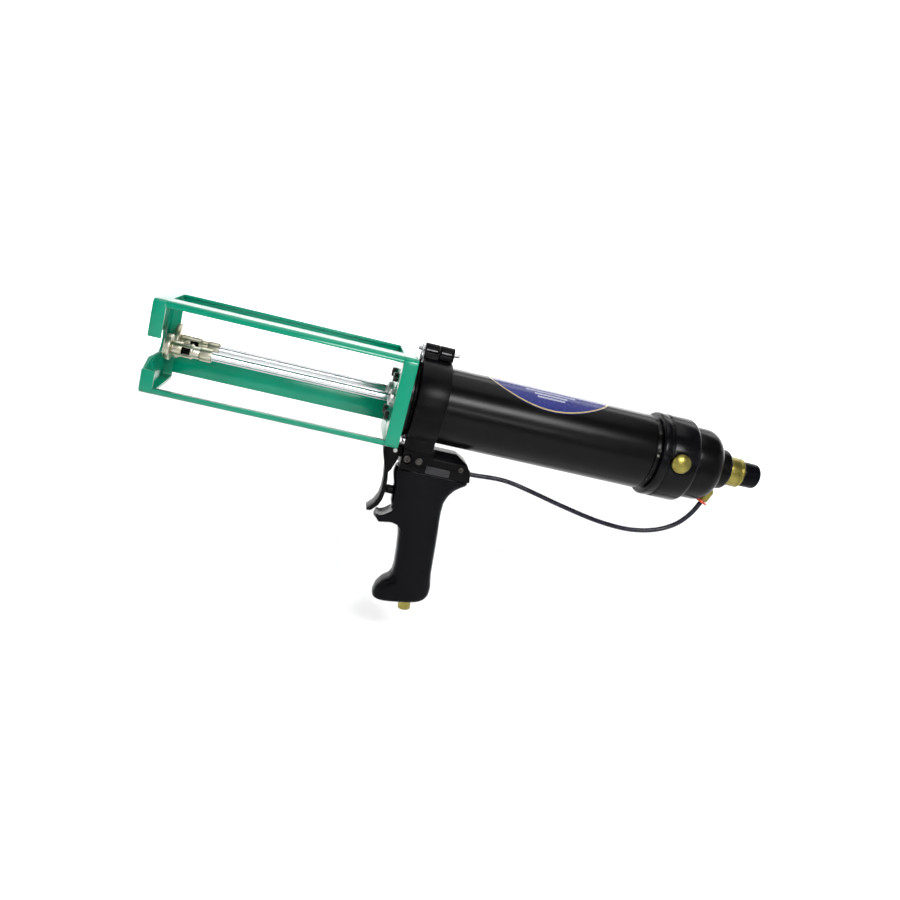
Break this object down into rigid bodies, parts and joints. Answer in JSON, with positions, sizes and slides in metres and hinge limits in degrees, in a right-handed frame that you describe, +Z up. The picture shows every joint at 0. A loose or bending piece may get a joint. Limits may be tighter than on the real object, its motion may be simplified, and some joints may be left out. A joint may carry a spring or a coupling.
{
  "type": "caulking gun",
  "caption": "Air-powered twin-cartridge caulking gun with open steel carriage, push rods and discs, air barrel, pressure regulator and pistol grip.",
  "frame": {"origin": "centre of the front plate's inner face, on the barrel axis", "axes": "+X along the barrel towards the regulator knob, +Z up, the carriage's open loading side faces -Y"},
  "size_m": [0.615, 0.091, 0.2763],
  "materials": {
    "carriage_paint": "semi-gloss",
    "black_anodise": "gloss",
    "rubber": "matte",
    "bright_steel": "polished",
    "brass": "satin",
    "passivated_zinc": "satin",
    "plated_steel": "satin",
    "black_steel": "satin",
    "trigger_paint": "satin",
    "grip_plastic": "fine texture",
    "nameplate_film": "satin",
    "label_film": "gloss",
    "collar_plastic": "gloss",
    "hose_plastic": "gloss"
  },
  "bodies": {
    "gun": {"front_plate": "carriage_paint", "rear_plate": "carriage_paint", "top_near_rail": "carriage_paint", "top_far_rail": "carriage_paint", "bottom_near_rail": "carriage_paint", "bottom_far_rail": "carriage_paint", "carriage_screws": "black_steel", "front_head": "black_anodise", "barrel_o_rings": "rubber", "rod_glands": "plated_steel", "rod_bushes": "brass", "rod_seals": "rubber", "bumper_ring": "rubber", "barrel": "black_anodise", "label": "label_film", "clamp_near": "black_anodise", "clamp_far": "black_anodise", "clamp_pin": "bright_steel", "clamp_screws": "black_steel", "foot_screws": "bright_steel", "eye_tab": "bright_steel", "end_cap": "black_anodise", "regulator_housing": "black_anodise", "regulator_hub": "black_anodise", "bonnet_nut": "brass", "regulator_spring": "plated_steel", "relief_spring": "plated_steel", "hose_elbow": "brass", "hose_fitting": "grip_plastic", "hose": "hose_plastic", "valve_block": "black_anodise", "block_screws": "bright_steel", "nameplate": "nameplate_film", "gallery_plug": "black_steel", "grip": "grip_plastic", "trigger_pin": "plated_steel", "valve_spring": "plated_steel", "inlet_nipple": "brass"},
    "piston": {"piston_front_plate": "plated_steel", "piston_cup": "rubber", "piston_back_plate": "plated_steel", "near_rod": "bright_steel", "far_rod": "bright_steel", "rod_nuts": "plated_steel", "near_disc": "passivated_zinc", "far_disc": "passivated_zinc", "near_coupler": "passivated_zinc", "far_coupler": "passivated_zinc", "near_sleeve_spring": "plated_steel", "far_sleeve_spring": "plated_steel"},
    "near_sleeve": {"near_lock_sleeve": "plated_steel"},
    "far_sleeve": {"far_lock_sleeve": "plated_steel"},
    "trigger": {"trigger": "trigger_paint"},
    "plunger": {"valve_plunger": "bright_steel", "valve_seals": "rubber"},
    "button": {"relief_button": "brass"},
    "knob": {"regulator_knob": "grip_plastic", "regulator_screw": "plated_steel"},
    "spring_plate": {"spring_plate": "plated_steel"},
    "collar": {"release_collar": "collar_plastic"}
  },
  "joints": [
    {"name": "piston_slide", "type": "slide", "parent": "gun", "child": "piston", "axis": [1, 0, 0], "range_m": [0, 0.164]},
    {"name": "near_sleeve_slide", "type": "slide", "parent": "piston", "child": "near_sleeve", "axis": [1, 0, 0], "range_m": [0, 0.004], "stiffness_N_per_m": 800, "springref_m": -0.002, "deforming": ["near_sleeve_spring"]},
    {"name": "far_sleeve_slide", "type": "slide", "parent": "piston", "child": "far_sleeve", "axis": [1, 0, 0], "range_m": [0, 0.004], "stiffness_N_per_m": 800, "springref_m": -0.002, "deforming": ["far_sleeve_spring"]},
    {"name": "trigger_hinge", "type": "hinge", "parent": "gun", "child": "trigger", "pos_m": [0.2415, 0, -0.0528], "axis": [0, -1, 0], "range_deg": [0, 7.5], "stiffness_Nm_per_rad": 1.5, "springref_deg": -11.46},
    {"name": "plunger_slide", "type": "slide", "parent": "gun", "child": "plunger", "axis": [1, 0, 0], "range_m": [0, 0.0056], "deforming": ["valve_spring"]},
    {"name": "button_slide", "type": "slide", "parent": "gun", "child": "button", "axis": [0, 1, 0], "range_m": [0, 0.003], "stiffness_N_per_m": 2000, "springref_m": -0.001, "deforming": ["relief_spring"]},
    {"name": "knob_turn", "type": "hinge", "parent": "gun", "child": "knob", "pos_m": [0.603, 0, 0], "axis": [1, 0, 0], "range_deg": [-360, 360]},
    {"name": "spring_plate_slide", "type": "slide", "parent": "gun", "child": "spring_plate", "axis": [1, 0, 0], "range_m": [-0.00151, 0.00151], "deforming": ["regulator_spring"]},
    {"name": "collar_slide", "type": "slide", "parent": "gun", "child": "collar", "axis": [0.3584, 0, 0.9336], "range_m": [0, 0.0008], "stiffness_N_per_m": 1500, "springref_m": -0.001}
  ],
  "couplings": [
    {"joint": "plunger_slide", "follows": "trigger_hinge", "m_per_rad": 0.0427},
    {"joint": "spring_plate_slide", "follows": "knob_turn", "m_per_rad": 0.000239}
  ]
}
